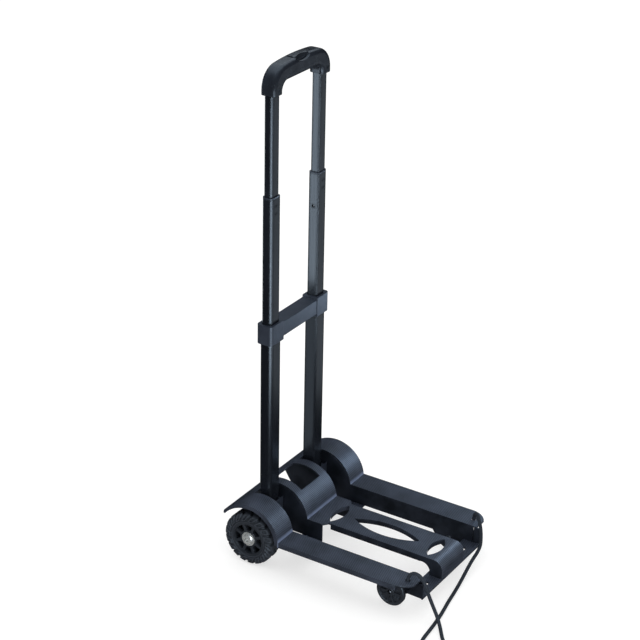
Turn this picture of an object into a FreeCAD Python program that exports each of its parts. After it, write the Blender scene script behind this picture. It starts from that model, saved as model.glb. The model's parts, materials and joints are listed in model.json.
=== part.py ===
import FreeCAD, Part
import math
import os
import re
import Sketcher
from FreeCAD import Rotation, Vector

# Folding luggage cart. Millimetres, +Z up, the front of the platform towards -Y, left side at -X.
# Origin: on the ground, at the centre of the cart's footprint.

DIMENSIONS = {
    # platform
    "deck_half_width": 148.3,
    "deck_front": -198.6,
    "deck_top": 71.4,
    "deck_wall": 3.0,
    "deck_skirt": 10.0,
    "slot_inner": 50.4,
    "slot_outer": 99.4,
    "slot_rear": 161.2,
    "slot_front": 46.4,
    "slot_floor_rear": 88.0,
    "strip_half_width": 40.0,
    "strip_skirt": 12.0,
    "arch_foot": 77.9,
    "arch_top": 127.0,
    "arch_mid": 141.9,
    "arch_rear": 195.4,
    "arch_rear_z": 101.0,
    "wall_bottom": 36.0,
    "opening_rim": 2.5,
    "tray_rear": -166.6,
    "tray_top": 37.2,
    "tray_lip": 38.0,
    "tray_half_width": 108.0,
    "cord_hole_across": 121.0,
    "cord_hole_along": -174.6,
    # wheels
    "axle_y": 147.2,
    "wheel_radius": 51.4,
    "wheel_face": 143.4,
    "wheel_width": 35.4,
    "rim_radius": 33.5,
    "spoke_reach": 29.5,
    "axle_radius": 4.0,
    "running_gap": 0.05,
    "caster_y": -135.5,
    "caster_radius": 28.0,
    "caster_face": 112.4,
    "caster_width": 9.0,
    "caster_pin": 2.5,
    # handle
    "tube_across": 74.4,
    "tube_wall": 0.9,
    "low_width": 32.0,
    "low_depth": 25.0,
    "low_foot": 62.0,
    "low_end": 458.0,
    "mid_pin_height": 444.0,
    "mid_width": 27.8,
    "mid_depth": 21.2,
    "mid_foot": 400.0,
    "mid_end": 697.0,
    "top_width": 23.6,
    "top_depth": 17.0,
    "top_foot": 629.5,
    "top_end": 896.0,
    "top_pin_height": 635.5,
    "lock_pin_radius": 2.3,
    "block_top": 108.0,
    "block_inner": 53.4,
    "block_outer": 96.4,
    "bar_bottom": 425.5,
    "bar_top": 462.0,
    "collar_half_width": 19.8,
    "collar_half_depth": 16.0,
    # grip
    "grip_bottom": 880.0,
    "grip_under": 898.5,
    "grip_top": 930.5,
    "grip_half_depth": 15.0,
    "grip_leg_half_width": 14.2,
    "grip_bend": 40.0,
    "grip_turn": 16.0,
    "grip_wall": 4.0,
    "grip_floor": 900.5,
    "grip_seam": 910.0,
    "grip_seam_end": 899.0,
    "button_half_length": 20.7,
    "button_half_depth": 9.7,
    "button_travel": 4.0,
    "button_under": 921.5,
    "bridge_under": 905.0,
    "rod_radius": 1.5,
    # cord
    "cord_diameter": 6.5,
    "coil_across": -219.0,
    "coil_along": -287.0,
    "coil_inner": 28.8,
    "coil_outer": 41.8,
    "coil_height": 13.2,
}

doc = FreeCAD.newDocument("luggage_cart")
dims = doc.addObject("Spreadsheet::Sheet", "dims")
for row, (alias, number) in enumerate(DIMENSIONS.items(), start=1):
    dims.set(f"A{row}", alias)
    dims.set(f"B{row}", str(number))
    dims.setAlias(f"B{row}", alias)
doc.recompute()

SIDES = {"left": -1, "right": 1}
parts = []


# ---------------------------------------------------------------- building tools

def bound(expression):
    """The expression with each sheet alias written as a reference to the sheet."""
    return re.sub(r"[a-z]\w*", lambda word: "dims." + word[0] if word[0] in DIMENSIONS else word[0],
                  str(expression))


def size(expression):
    """The value that an expression has now."""
    return float(dims.evalExpression(str(expression)))


def new_body(label):
    body = doc.addObject("PartDesign::Body", label)
    body.Label = label
    parts.append(body)
    return body


def move(part, across="0", along="0", up="0"):
    """Bind a part's place to the sheet."""
    for axis, expression in zip("xyz", (across, along, up)):
        part.setExpression(f"Placement.Base.{axis}", bound(expression))


def origin_plane(body, role):
    return next(feature for feature in body.Origin.OriginFeatures if feature.Role == role)


def new_sketch(body, name, role, offset="0"):
    sketch = body.newObject("Sketcher::SketchObject", name)
    sketch.AttachmentSupport = (origin_plane(body, role), "")
    sketch.MapMode = "FlatFace"
    sketch.setExpression("AttachmentOffset.Base.z", bound(offset))
    return sketch


def draw_outline(sketch, steps):
    """A closed outline. A step is (x, y), reached by a line, or (via x, via y, x, y), by an arc."""
    corners = [Vector(size(step[-2]), size(step[-1]), 0) for step in steps]
    edges = []
    for index, step in enumerate(steps):
        before, corner = corners[index - 1], corners[index]
        if len(step) == 4:
            via = Vector(size(step[0]), size(step[1]), 0)
            edge = sketch.addGeometry(Part.ArcOfCircle(before, via, corner))
        else:
            edge = sketch.addGeometry(Part.LineSegment(before, corner))
        end = 1 if sketch.getPoint(edge, 1).distanceToPoint(corner) < 1e-6 else 2
        edges.append((edge, end))
    for index, (edge, end) in enumerate(edges):
        following, following_end = edges[(index + 1) % len(edges)]
        sketch.addConstraint(Sketcher.Constraint("Coincident", edge, end, following, 3 - following_end))
        for kind, expression, value in (("DistanceX", steps[index][-2], corners[index].x),
                                        ("DistanceY", steps[index][-1], corners[index].y)):
            constraint = sketch.addConstraint(Sketcher.Constraint(kind, -1, 1, edge, end, value))
            name = f"edge{edge}_{kind[-1]}"
            sketch.renameConstraint(constraint, name)
            sketch.setExpression("Constraints." + name, bound(expression))


def draw_circle(sketch, across, along, radius):
    centre = Vector(size(across), size(along), 0)
    circle = sketch.addGeometry(Part.Circle(centre, Vector(0, 0, 1), size(radius)))
    for kind, points, expression in (("DistanceX", (-1, 1, circle, 3), across),
                                     ("DistanceY", (-1, 1, circle, 3), along),
                                     ("Radius", (circle,), radius)):
        constraint = sketch.addConstraint(Sketcher.Constraint(kind, *points, size(expression)))
        name = f"circle{circle}_{kind}"
        sketch.renameConstraint(constraint, name)
        sketch.setExpression("Constraints." + name, bound(expression))


def draw(sketch, loops):
    for loop in loops:
        if loop[0] == "circle":
            draw_circle(sketch, *loop[1:])
        else:
            draw_outline(sketch, loop)


def slab(body, name, role, start, end, loops, cut=False):
    """Pad or pocket loops drawn on an origin plane, from start to end along that plane's axis."""
    offset = f"-({end})" if role == "XZ_Plane" else start
    sketch = new_sketch(body, name + "_sketch", role, offset)
    draw(sketch, loops)
    feature = body.newObject("PartDesign::Pocket" if cut else "PartDesign::Pad", name)
    feature.Profile = sketch
    feature.Reversed = cut
    feature.Length = size(f"({end})-({start})")
    feature.setExpression("Length", bound(f"({end})-({start})"))
    return feature


def cut_slab(body, name, role, start, end, loops):
    return slab(body, name, role, start, end, loops, cut=True)


def turned(body, name, loops, kind="Revolution", role="XY_Plane"):
    """Turn loops, drawn as (along X, radius), about the body's X axis."""
    sketch = new_sketch(body, name + "_sketch", role)
    draw(sketch, loops)
    feature = body.newObject("PartDesign::" + kind, name)
    feature.Profile = sketch
    feature.ReferenceAxis = (sketch, ["H_Axis"])
    feature.Angle = 360
    return feature


def repeat_round(body, name, feature, count):
    """Repeat a feature round the body's X axis."""
    pattern = body.newObject("PartDesign::PolarPattern", name)
    pattern.Originals = [feature]
    pattern.Axis = (next(line for line in body.Origin.OriginFeatures if line.Role == "X_Axis"), [""])
    pattern.Angle = 360
    pattern.Occurrences = count
    body.Tip = pattern


def rectangle(left, front, right, back):
    return [(left, front), (right, front), (right, back), (left, back)]


def mirrored(loop):
    """The loop with its first coordinate's sign changed."""
    steps = []
    for step in loop:
        pairs = [(f"-({step[i]})", step[i + 1]) for i in range(0, len(step), 2)]
        steps.append(tuple(value for pair in pairs for value in pair))
    return steps


def oval(across, along, half_width, half_length):
    """A pointed oval of two arcs, its points on the across axis."""
    return [(across, f"{along}+{half_length}", f"{across}-{half_width}", along),
            (across, f"{along}-{half_length}", f"{across}+{half_width}", along)]


# ---------------------------------------------------------------- platform

def arch_line(inset):
    """The platform's upper line in side view, set in by a depth, from the arch's foot to its rear."""
    return [(f"arch_foot+{inset}*0.94+15", f"deck_top+26-{inset}*0.7+8",
             "arch_mid", f"arch_top-{inset}"),
            (f"arch_mid+29-{inset}*0.25", f"arch_top-7-{inset}*0.9",
             f"arch_rear-{inset}*0.2", f"arch_rear_z-{inset}")]


def side_band(depth, front):
    """A closed band of the platform's side view: its upper line, and the same line set in."""
    upper = arch_line("0")
    lower = arch_line(depth)
    under = f"deck_top-({depth})"
    rear = lower[1]
    back_down = (lower[1][0], lower[1][1], lower[0][2], lower[0][3])
    back_to_foot = (lower[0][0], lower[0][1], f"arch_foot+{depth}", under)
    return [(front, "deck_top"), ("arch_foot", "deck_top"), upper[0], upper[1],
            (rear[2], rear[3]), back_down, back_to_foot, (front, under)]


def wall_outline(front):
    """A slot's upright wall in side view, with its slanted rear edge."""
    inset = "deck_wall-0.5"
    upper, foot = arch_line(inset), f"arch_foot+{inset}"
    return [(front, "wall_bottom"), (front, "deck_top-0.5"), (foot, "deck_top-0.5"), upper[0],
            (upper[1][0], upper[1][1], "arch_rear-1", "arch_rear_z-deck_wall-3"),
            ("axle_y+27", "deck_top-8"), ("axle_y+18", "wall_bottom")]


def build_platform():
    deck = new_body("platform_deck")
    # the top skin over the whole width, side view
    slab(deck, "skin", "YZ_Plane", "-deck_half_width", "deck_half_width",
         [side_band("deck_wall", "deck_front+6")])
    for side, sign in SIDES.items():
        outer = sorted((f"{sign}*deck_half_width", f"{sign}*(deck_half_width-deck_wall)"), key=size)
        slab(deck, f"arch_lip_{side}", "YZ_Plane", *outer, [side_band("7.5", "arch_foot-10")])
        slab(deck, f"skirt_{side}", "YZ_Plane", *outer,
             [rectangle("deck_front+30", "deck_top-deck_skirt", "arch_foot+2.5", "deck_top-1")])
        for name, face, front in (("inner", f"{sign}*slot_inner", "slot_front"),
                                  ("outer", f"{sign}*(slot_outer+deck_wall)", "deck_front+14")):
            ends = sorted((face, f"{face}-{sign}*deck_wall"), key=size)
            slab(deck, f"{name}_wall_{side}", "YZ_Plane", *ends, [wall_outline(front)])
    # rear rail under the skin behind the slots
    slab(deck, "rear_rail", "YZ_Plane", "-deck_half_width", "deck_half_width",
         [[("arch_rear-5", "arch_rear_z+3.5"), ("arch_rear", "arch_rear_z"), ("arch_rear+1", "arch_rear_z-6"),
           ("arch_rear-2.5", "arch_rear_z-6")]])
    # the slots that the handle's feet turn in
    for side, sign in SIDES.items():
        slot = rectangle("slot_inner", "slot_front-30", "slot_outer", "slot_rear")
        gap = [("strip_half_width", "slot_front-8"), ("slot_inner", "slot_front"),
               ("slot_inner", "slot_front+12"), ("slot_outer", "slot_front+12"),
               ("slot_outer", "deck_front-10"), ("strip_half_width", "deck_front-10"),
               ("strip_half_width", "tray_rear")]
        for name, loop in (("slot", slot), ("gap", gap)):
            cut_slab(deck, f"{name}_{side}", "XY_Plane", "wall_bottom-5", "arch_top+5",
                     [loop if sign > 0 else mirrored(loop)])
    cut_slab(deck, "window", "XY_Plane", "deck_top+10", "arch_top+5",
             [rectangle("-31", "arch_foot+26", "31", "slot_rear+2")])
    for side, sign in SIDES.items():
        tip = [("slot_outer-5", "deck_front-5"), ("deck_half_width+5", "deck_front-5"),
               ("deck_half_width+5", "deck_front+46"), ("deck_half_width", "deck_front+46"),
               ("deck_half_width-6", "deck_front+20", "deck_half_width-24", "deck_front+5"),
               ("deck_half_width-32", "deck_front+1.5", "deck_half_width-41", "deck_front+6.5"),
               ("slot_outer-5", "deck_front+6.5")]
        cut_slab(deck, f"tip_{side}", "XY_Plane", "deck_top-deck_skirt-1", "deck_top+1",
                 [tip if sign > 0 else mirrored(tip)])
    half = "strip_half_width+6"
    cut_slab(deck, "nose_room", "XY_Plane", "deck_top-deck_wall-1", "deck_top+1",
             [rectangle(f"-({half})", "deck_front-1", half, "deck_front+18")])
    build_openings(deck)
    build_nose(deck)
    build_tray(deck)
    build_bearings(deck)
    return deck


def strip_openings(rim="0"):
    """The three openings of the centre strip, made larger all round by a rim."""
    reach, half = f"(68.5+1.5*{rim})", f"(19.5+{rim})"
    return {
        "rear_oval": oval("0", "slot_front-7", f"33+2*{rim}", f"11.5+{rim}"),
        "front_oval": oval("0", "tray_rear+3", f"31+2*{rim}", f"12+{rim}"),
        "long_oval": [(half, "-60.5", "0", f"-60.5+{reach}"), (f"-{half}", "-60.5", "0", f"-60.5-{reach}")],
    }


def build_openings(deck):
    """The openings of the centre strip, each with a rim under the skin, and the cord holes at the tips."""
    for name, outline in strip_openings("opening_rim").items():
        slab(deck, name + "_rim", "XY_Plane", "deck_top-deck_wall-6", "deck_top-1", [outline])
    ends = ("deck_top-deck_wall-12", "deck_top+1")
    for name, outline in strip_openings().items():
        cut_slab(deck, name, "XY_Plane", *ends, [outline])
    cut_slab(deck, "cord_holes", "XY_Plane", *ends,
             [("circle", f"{sign}*cord_hole_across", "cord_hole_along", "4.6") for sign in SIDES.values()])


def build_nose(deck):
    """The centre strip's rounded front end, its edge ribs and its side webs."""
    half = "strip_half_width"
    bend = [("deck_front+18", "deck_top"),
            ("deck_front+5.3", "deck_top-5.3", "deck_front", "deck_top-18"),
            ("deck_front", "tray_top-3"), ("deck_front+3", "tray_top-3"),
            ("deck_front+3", "deck_top-18"),
            ("deck_front+7.4", "deck_top-7.4", "deck_front+18", "deck_top-3")]
    slab(deck, "nose", "YZ_Plane", f"-{half}", half, [bend])
    for side, sign in SIDES.items():
        ends = sorted((f"{sign}*{half}", f"{sign}*({half}-3)"), key=size)
        web = [("slot_front-12", "deck_top-1"), ("slot_front-12", "deck_top-strip_skirt"),
               ("deck_front+46", "deck_top-strip_skirt"),
               ("deck_front+30", "deck_top-strip_skirt-4", "deck_front+25", "deck_top-26"),
               ("deck_front+25", "tray_top-1"), ("deck_front+1", "tray_top-1"),
               ("deck_front+1", "deck_top-18"),
               ("deck_front+6.3", "deck_top-6.3", "deck_front+18", "deck_top-1")]
        slab(deck, f"nose_web_{side}", "YZ_Plane", *ends, [web])


def build_tray(deck):
    """The low front beam: a plate with slotted holes, a lip and end plates; and the slots' front floors."""
    plate = rectangle("-tray_half_width", "deck_front", "tray_half_width", "tray_rear")
    slots = [rectangle(f"{x}-7", "deck_front+13", f"{x}+7", "deck_front+18") for x in (-68, 68)]
    slab(deck, "tray", "XY_Plane", "tray_top-3", "tray_top", [plate, *slots])
    slab(deck, "tray_front", "XY_Plane", "tray_top-5", "tray_lip",
         [rectangle("-tray_half_width", "deck_front", "tray_half_width", "deck_front+3")])
    gusset = [("deck_front", "tray_top-4"), ("tray_rear", "tray_top-3"), ("tray_rear", "tray_top"),
              ("deck_front+14", "deck_top-deck_skirt"), ("deck_front", "deck_top-deck_skirt")]
    post = rectangle("deck_front", "tray_top-1", "deck_front+12", "deck_top-2")
    for side, sign in SIDES.items():
        ends = sorted((f"{sign}*tray_half_width", f"{sign}*(tray_half_width-3)"), key=size)
        slab(deck, f"tray_end_{side}", "YZ_Plane", *ends, [gusset])
        ends = sorted((f"{sign}*(slot_outer+deck_wall)", f"{sign}*slot_outer"), key=size)
        slab(deck, f"tip_post_{side}", "YZ_Plane", *ends, [post])
        floor = rectangle("slot_inner-deck_wall", "slot_front", "slot_outer+deck_wall", "slot_floor_rear")
        slab(deck, f"slot_floor_{side}", "XY_Plane", "wall_bottom-2.5", "wall_bottom",
             [floor if sign > 0 else mirrored(floor)])
        front = rectangle("slot_outer", "tray_top-1", "tray_half_width", "deck_top-deck_skirt")
        slab(deck, f"tip_front_{side}", "XZ_Plane", "deck_front", "deck_front+3",
             [front if sign > 0 else mirrored(front)])


def build_bearings(deck):
    """Bosses and bores for the rear axle, and the plates that carry the front wheels."""
    boss = ("circle", "axle_y", "wheel_radius", "17")
    for side, sign in SIDES.items():
        for name, face in (("inner", "slot_inner"), ("outer", "slot_outer+deck_wall")):
            ends = sorted((f"{sign}*({face})", f"{sign}*({face}-deck_wall)"), key=size)
            slab(deck, f"axle_boss_{name}_{side}", "YZ_Plane", *ends, [boss])
        ends = sorted((f"{sign}*(slot_outer+deck_wall)", f"{sign}*slot_outer"), key=size)
        plate = [("caster_y+36", "wall_bottom+4"), ("caster_y+30", "wall_bottom-6"),
                 ("caster_y+12", "caster_radius-8"),
                 ("caster_y", "caster_radius-14", "caster_y-12", "caster_radius-8"),
                 ("caster_y-30", "wall_bottom-6"), ("caster_y-36", "wall_bottom+4")]
        slab(deck, f"caster_plate_{side}", "YZ_Plane", *ends, [plate])
    cut_slab(deck, "axle_bore", "YZ_Plane", "-deck_half_width", "deck_half_width",
             [("circle", "axle_y", "wheel_radius", "axle_radius+running_gap")])
    cut_slab(deck, "caster_bore", "YZ_Plane", "-deck_half_width", "deck_half_width",
             [("circle", "caster_y", "caster_radius", "caster_pin+running_gap")])


# ---------------------------------------------------------------- wheels

def build_axle():
    axle = new_body("rear_axle")
    slab(axle, "rod", "YZ_Plane", "-(wheel_face-4)", "wheel_face-4", [("circle", "0", "0", "axle_radius")])
    move(axle, along="axle_y", up="wheel_radius")
    washers = new_body("axle_washers")
    bolts = new_body("axle_bolts")
    for side, sign in SIDES.items():
        for name, start in (("wheel", "slot_outer+deck_wall"), ("block", "slot_outer-2.2")):
            ends = sorted((f"{sign}*({start})", f"{sign}*({start}+2)"), key=size)
            slab(washers, f"{name}_washer_{side}", "YZ_Plane", *ends,
                 [("circle", "0", "0", "8.5"), ("circle", "0", "0", "axle_radius")])
        face = "wheel_face-4"
        head = [(f"{sign}*({face})", "0"), (f"{sign}*({face})", "13.4"), (f"{sign}*({face}+1.6)", "13.4"),
                (f"{sign}*({face}+1.6)", "11.4"),
                (f"{sign}*({face}+5.4)", "8.8", f"{sign}*({face}+6.6)", "4.6"),
                (f"{sign}*({face}+3)", "4.6"), (f"{sign}*({face}+3)", "0")]
        turned(bolts, f"bolt_{side}", [head])
    for group in (washers, bolts):
        move(group, along="axle_y", up="wheel_radius")


def spoke_window(inner, outer, inner_half, outer_half):
    """One opening between spokes, drawn across the wheel, on the upward ray."""
    return [(f"-{inner_half}", inner), (inner_half, inner), (outer_half, f"{outer}-2"),
            ("0", outer, f"-{outer_half}", f"{outer}-2")]


def build_wheel(side, sign):
    """A rear wheel, its outer face towards +X; the left one is turned half round."""
    half = "wheel_width/2"
    hub = new_body(f"rear_hub_{side}")
    profile = [(f"-({half})+1", "7"), (f"-({half})+1", "11"), ("8", "15.5"), ("8", "spoke_reach"),
               (f"-({half})+3", "spoke_reach"), (f"-({half})+3", "rim_radius"), (f"{half}-1.5", "rim_radius"),
               (f"{half}-1.5", "spoke_reach"), ("14.5", "spoke_reach"), ("14.5", "15.5"), (f"{half}-4", "14"),
               (f"{half}-4", "7")]
    turned(hub, "spokes_and_rim", [profile])
    slab(hub, "inner_web", "YZ_Plane", "-8", "-6.5",
         [("circle", "0", "0", "spoke_reach+1"), ("circle", "0", "0", "9")])
    window = cut_slab(hub, "spoke_window", "YZ_Plane", "6", "17",
                      [spoke_window("17", "spoke_reach-0.5", "4.2", "8.4")])
    repeat_round(hub, "spoke_windows", window, 8)
    tyre = new_body(f"rear_tyre_{side}")
    band = [(f"-({half})+2", "rim_radius"), (f"-({half})", "rim_radius+3"), (f"-({half})", "wheel_radius-8"),
            (f"-({half})+1.8", "wheel_radius-2", f"-({half})+7", "wheel_radius"),
            (f"{half}-7", "wheel_radius"), (f"{half}-1.8", "wheel_radius-2", half, "wheel_radius-8"),
            (half, "rim_radius+3"),
            (f"{half}-2", "rim_radius")]
    turned(tyre, "tyre_band", [band])
    notch = [("-1.3", "wheel_radius-9"), ("1.3", "wheel_radius-9"), ("1.6", "wheel_radius+2"),
             ("-1.6", "wheel_radius+2")]
    for name, start, end in (("outer", f"{half}-9", f"{half}+1"), ("inner", f"-({half})-1", f"-({half})+9")):
        groove = cut_slab(tyre, f"lug_groove_{name}", "YZ_Plane", start, end, [notch])
        repeat_round(tyre, f"lug_grooves_{name}", groove, 18)
    bushes = new_body(f"rear_bushes_{side}")
    for name, start, end in (("outer", f"{half}-14", f"{half}-4"),
                             ("inner", f"-({half})+1", f"-({half})+11")):
        slab(bushes, f"bush_{name}", "YZ_Plane", start, end,
             [("circle", "0", "0", "7"), ("circle", "0", "0", "axle_radius+running_gap")])
    for part in (hub, tyre, bushes):
        part.Placement = FreeCAD.Placement(Vector(), Rotation(Vector(0, 0, 1), 90 - 90 * sign))
        move(part, f"{sign}*(wheel_face-wheel_width/2)", "axle_y", "wheel_radius")


def build_casters():
    for side, sign in SIDES.items():
        wheel = new_body(f"front_wheel_{side}")
        half = "caster_width/2"
        profile = [(f"-({half})", "caster_pin+running_gap"), (f"-({half})", "6"), ("-3.9", "6.5"),
                   ("-3.9", "22.5"), (f"-({half})", "23"), (f"-({half})", "caster_radius-1.5"),
                   (f"-({half})+1.5", "caster_radius"), (f"{half}-1.5", "caster_radius"),
                   (half, "caster_radius-1.5"), (half, "23"), ("3.9", "22.5"), ("3.9", "6.5"), (half, "6"),
                   (half, "caster_pin+running_gap")]
        turned(wheel, "disc", [profile])
        pocket_outline = spoke_window("7.5", "22", "1.7", "5.4")
        for face, ends in (("inner", ("-5", "-1")), ("outer", ("1", "5"))):
            pocket = cut_slab(wheel, f"{face}_pocket", "YZ_Plane", *ends, [pocket_outline])
            repeat_round(wheel, f"{face}_pockets", pocket, 10)
        move(wheel, f"{sign}*(caster_face-caster_width/2)", "caster_y", "caster_radius")
    screws = new_body("front_wheel_screws")
    washers = new_body("front_wheel_washers")
    for side, sign in SIDES.items():
        shank = [(f"{sign}*(slot_outer-3)", "0"), (f"{sign}*(slot_outer-3)", "caster_pin"),
                 (f"{sign}*(caster_face+0.6)", "caster_pin"), (f"{sign}*(caster_face+0.6)", "4.2"),
                 (f"{sign}*(caster_face+1.4)", "4.2"),
                 (f"{sign}*(caster_face+2.9)", "3", f"{sign}*(caster_face+3.2)", "1.6"),
                 (f"{sign}*(caster_face+1.6)", "1.6"), (f"{sign}*(caster_face+1.6)", "0")]
        turned(screws, f"screw_{side}", [shank])
        nut = sorted((f"{sign}*(slot_outer-2.6)", f"{sign}*slot_outer"), key=size)
        slab(washers, f"washer_{side}", "YZ_Plane", *nut,
             [("circle", "0", "0", "5.5"), ("circle", "0", "0", "caster_pin")])
    for group in (screws, washers):
        move(group, along="caster_y", up="caster_radius")


# ---------------------------------------------------------------- handle

def tube_section(sign, width, depth, inset="0"):
    """A section about its own centre: nearly flat towards the other tube, well rounded on the outside."""
    flat, outer = f"-{sign}*({width}/2-({inset}))", f"{sign}*({width}/2-({inset}))"
    half, bend, turn = f"({depth}/2-({inset}))", f"(max(0.6;2.5-({inset})))", f"(0.35*{depth}-({inset}))"
    return [(f"{flat}+{sign}*0.293*{bend}", f"-{half}+0.293*{bend}", f"{flat}+{sign}*{bend}", f"-{half}"),
            (f"{outer}-{sign}*{turn}", f"-{half}"),
            (f"{outer}-{sign}*0.293*{turn}", f"-{half}+0.293*{turn}", outer, f"-{half}+{turn}"),
            (outer, f"{half}-{turn}"),
            (f"{outer}-{sign}*0.293*{turn}", f"{half}-0.293*{turn}", f"{outer}-{sign}*{turn}", half),
            (f"{flat}+{sign}*{bend}", half),
            (f"{flat}+{sign}*0.293*{bend}", f"{half}-0.293*{bend}", flat, f"{half}-{bend}"),
            (flat, f"-{half}+{bend}")]


def moved_across(loop, distance):
    """The loop with a distance added to its first coordinates."""
    return [tuple(f"{value}+{distance}" if index % 2 == 0 else value for index, value in enumerate(step))
            for step in loop]


def tube_place(part, sign):
    move(part, f"{sign}*tube_across", "axle_y")


def cross_hole(body, name, sign, height, radius):
    """A round hole through the tube wall that faces the other tube."""
    ends = sorted((f"-{sign}*20", f"-{sign}*4"), key=size)
    cut_slab(body, name, "YZ_Plane", *ends, [("circle", "0", height, radius)])


def build_tube(stage, side, sign, hole_heights=(), slot_heights=()):
    width, depth = f"{stage}_width", f"{stage}_depth"
    names = {"low": "lower", "mid": "middle", "top": "upper"}
    tube = new_body(f"{names[stage]}_tube_{side}")
    slab(tube, "tube", "XY_Plane", f"{stage}_foot", f"{stage}_end",
         [tube_section(sign, width, depth), tube_section(sign, width, depth, "tube_wall")])
    for number, height in enumerate(hole_heights):
        cross_hole(tube, f"pin_hole_{number}", sign, height, "2.4")
    for number, height in enumerate(slot_heights):
        cross_hole(tube, f"lock_slot_{number}", sign, height, "3")
    if stage == "mid":
        for number, drop in enumerate(("14", "28")):
            dimple = cut_slab(tube, f"crimp_{number}", "XZ_Plane", f"-({depth}/2+1)", f"-({depth}/2-0.5)",
                              [rectangle("-4", f"mid_end-{drop}-1.2", "4", f"mid_end-{drop}+1.2")])
            dimple.Refine = False
    tube_place(tube, sign)


def build_foot(side, sign):
    """The pivot block that holds a lower tube and turns on the rear axle."""
    block = new_body(f"foot_block_{side}")
    inner, outer = (f"{sign}*(block_inner-tube_across)", f"{sign}*(block_outer-tube_across)")
    ends = sorted((inner, outer), key=size)
    outline = [("0", "wheel_radius-15", "15", "wheel_radius"), ("15", "block_top-14"),
               ("14.4", "block_top-8"), ("-14.4", "block_top-8"), ("-17.8", "block_top-2"),
               ("-17.8", "block_top-22"), ("-14.5", "wheel_radius+8"), ("-15", "wheel_radius")]
    slab(block, "block", "YZ_Plane", *ends, [outline])
    cut_slab(block, "tube_socket", "XY_Plane", "low_foot", "block_top+5",
             [tube_section(sign, "low_width", "low_depth")])
    cut_slab(block, "axle_bore", "YZ_Plane", *ends,
             [("circle", "0", "wheel_radius", "axle_radius+running_gap")])
    tube_place(block, sign)
    rivets = new_body(f"foot_rivets_{side}")
    for number, height in enumerate(("74", "88")):
        rivet = slab(rivets, f"rivet_{number}", "XZ_Plane", "low_depth/2", "15.6",
                     [("circle", "0", height, "2")])
        rivet.Refine = False
        cut_slab(block, f"rivet_hole_{number}", "XZ_Plane", "low_depth/2", "16",
                 [("circle", "0", height, "2")])
    tube_place(rivets, sign)


def build_crossbar():
    bar = new_body("crossbar")
    low, high = "bar_bottom", "bar_top"
    front, back = "-collar_half_depth", "collar_half_depth"
    slab(bar, "bar", "XY_Plane", f"{low}+5.5", f"{high}-4",
         [rectangle("-(tube_across-10)", f"{front}+1.2", "tube_across-10", f"{back}-1.2")])
    for side, sign in SIDES.items():
        inner, outer = (f"{sign}*(tube_across-collar_half_width)", f"{sign}*(tube_across+collar_half_width)")
        bend = f"{sign}*(tube_across+collar_half_width-7)"
        collar = [(inner, front), (bend, front),
                  (f"{outer}-{sign}*2.05", f"{front}+2.05", outer, f"{front}+7"), (outer, f"{back}-7"),
                  (f"{outer}-{sign}*2.05", f"{back}-2.05", bend, back), (inner, back)]
        slab(bar, f"collar_{side}", "XY_Plane", low, high, [collar])
    for side, sign in SIDES.items():
        socket = moved_across(tube_section(sign, "low_width", "low_depth"), f"{sign}*tube_across")
        cut_slab(bar, f"tube_socket_{side}", "XY_Plane", f"{low}-1", "low_end", [socket])
        throat = moved_across(tube_section(sign, "(mid_width+0.8)", "(mid_depth+0.8)"), f"{sign}*tube_across")
        cut_slab(bar, f"throat_{side}", "XY_Plane", "low_end-1", f"{high}+1", [throat])
    for x in ("-30", "30"):
        cut_slab(bar, f"screw_seat_{'left' if x[0] == '-' else 'right'}", "XZ_Plane", f"{back}-6", f"{back}",
                 [("circle", x, "(bar_bottom+bar_top)/2", "3.5")])
    move(bar, along="axle_y")
    screws = new_body("crossbar_screws")
    for x in ("-30", "30"):
        slab(screws, f"screw_{'left' if x[0] == '-' else 'right'}", "XZ_Plane", f"{back}-6", f"{back}-3.6",
             [("circle", x, "(bar_bottom+bar_top)/2", "3.4")])
    move(screws, along="axle_y")


def build_collars_and_plugs(side, sign):
    """Plastic rims on the middle tubes, and plugs that guide the middle and upper tubes."""
    rim = new_body(f"middle_tube_rim_{side}")
    slab(rim, "rim", "XY_Plane", "mid_end", "mid_end+2.5",
         [tube_section(sign, "mid_width", "mid_depth"),
          tube_section(sign, "(top_width+0.8)", "(top_depth+0.5)")])
    tube_place(rim, sign)
    for stage, name, pin_height in (("top", "upper", "top_pin_height"), ("mid", "middle", "mid_pin_height")):
        width, depth = f"{stage}_width", f"{stage}_depth"
        plug = new_body(f"{name}_lock_housing_{side}")
        top = f"{pin_height}+{'12' if stage == 'top' else '5'}"
        slab(plug, "plug", "XY_Plane", f"{stage}_foot", top, [tube_section(sign, width, depth, "tube_wall")])
        slab(plug, "flange", "XY_Plane", f"{stage}_foot-2", f"{stage}_foot",
             [tube_section(sign, width, depth)])
        reach = sorted((f"-{sign}*({width}/2)", f"{sign}*({width}/2-4)"), key=size)
        cut_slab(plug, "pin_bore", "YZ_Plane", *reach,
                 [("circle", "0", pin_height, "lock_pin_radius+running_gap")])
        if stage == "top":
            cut_slab(plug, "rod_room", "XY_Plane", f"{pin_height}+4", f"{pin_height}+13",
                     [("circle", "0", "0", "rod_radius+0.5")])
        else:
            cut_slab(plug, "lightening", "XY_Plane", f"{stage}_foot-3", f"{pin_height}-8",
                     [("circle", "0", "0", "5")])
        tube_place(plug, sign)
        pin = new_body(f"{name}_lock_pin_{side}")
        tip = f"-{sign}*({width}/2+0.25)"
        tail = f"{sign}*({width}/2-9.5)"
        nose = [(tip, "0"), (tip, "1.4"), (f"{tip}+{sign}*0.8", "lock_pin_radius"), (tail, "lock_pin_radius"),
                (tail, "0")]
        turned(pin, "pin", [nose])
        move(pin, f"{sign}*tube_across", "axle_y", pin_height)


def add_shape(label, solids):
    """A group of solids that need functions which the design features don't have."""
    group = doc.addObject("Part::Feature", label)
    group.Label = label
    group.Shape = solids[0] if len(solids) == 1 else Part.makeCompound(solids)
    parts.append(group)


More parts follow.
